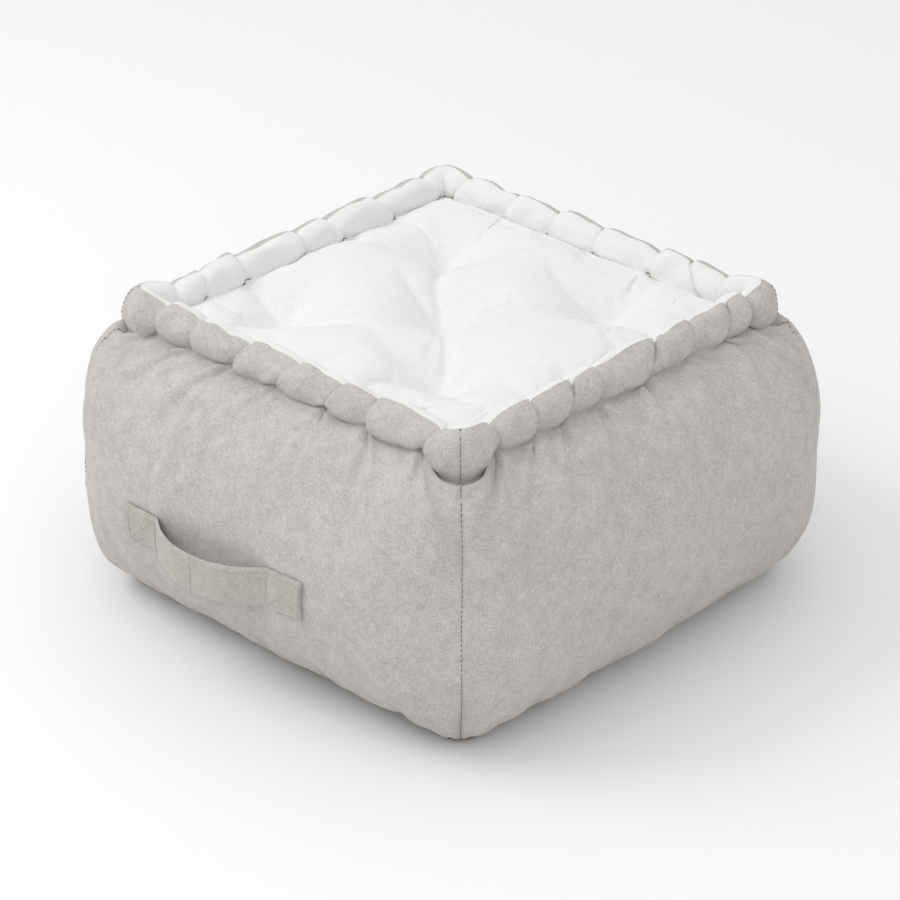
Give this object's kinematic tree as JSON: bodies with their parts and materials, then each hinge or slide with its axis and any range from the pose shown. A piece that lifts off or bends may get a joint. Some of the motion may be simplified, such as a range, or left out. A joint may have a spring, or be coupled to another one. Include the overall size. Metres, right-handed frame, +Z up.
{
  "type": "floor cushion",
  "caption": "Square mattress-style floor cushion with stuffed rolled top edges, a tufted seat, bellied sides and a carrying strap on the front.",
  "frame": {"origin": "on the floor, at the middle of the overall width and depth, strap included", "axes": "+Z up; the carrying strap is on the -Y side; +X is to the right of it"},
  "size_m": [0.6, 0.6272, 0.31],
  "materials": {
    "grey_canvas": "matt plain-weave canvas with pale slubs",
    "white_canvas": "matt plain-weave canvas",
    "wadding": "loose fibre filling",
    "twine": "waxed twine",
    "thread": "sewing thread"
  },
  "bodies": {
    "cushion": {"base_panel": "grey_canvas", "base_seam": "thread", "body_filling": "wadding", "corner_seam_back_left": "thread", "corner_seam_front_right": "thread", "corner_seam_left_front": "thread", "corner_seam_right_back": "thread", "crest_seam": "thread", "edge_twine_inner": "twine", "edge_twine_outer": "twine", "handle_end_left": "grey_canvas", "handle_end_right": "grey_canvas", "handle_stitch_left": "thread", "handle_stitch_right": "thread", "roll_filling_back": "wadding", "roll_filling_front": "wadding", "roll_filling_left": "wadding", "roll_filling_right": "wadding", "side_panel_back": "grey_canvas", "side_panel_front": "grey_canvas", "side_panel_left": "grey_canvas", "side_panel_right": "grey_canvas", "top_panel": "white_canvas", "tuft_tie_1": "twine", "tuft_tie_2": "twine", "tuft_tie_3": "twine", "tuft_tie_4": "twine", "tuft_tie_5": "twine"},
    "handle": {"handle_loop": "grey_canvas"}
  },
  "joints": [
    {"name": "handle_lift", "type": "hinge", "parent": "cushion", "child": "handle", "pos_m": [-0.017, -0.2869, 0.131], "axis": [-1, 0, 0], "range_deg": [-15, 35]}
  ]
}
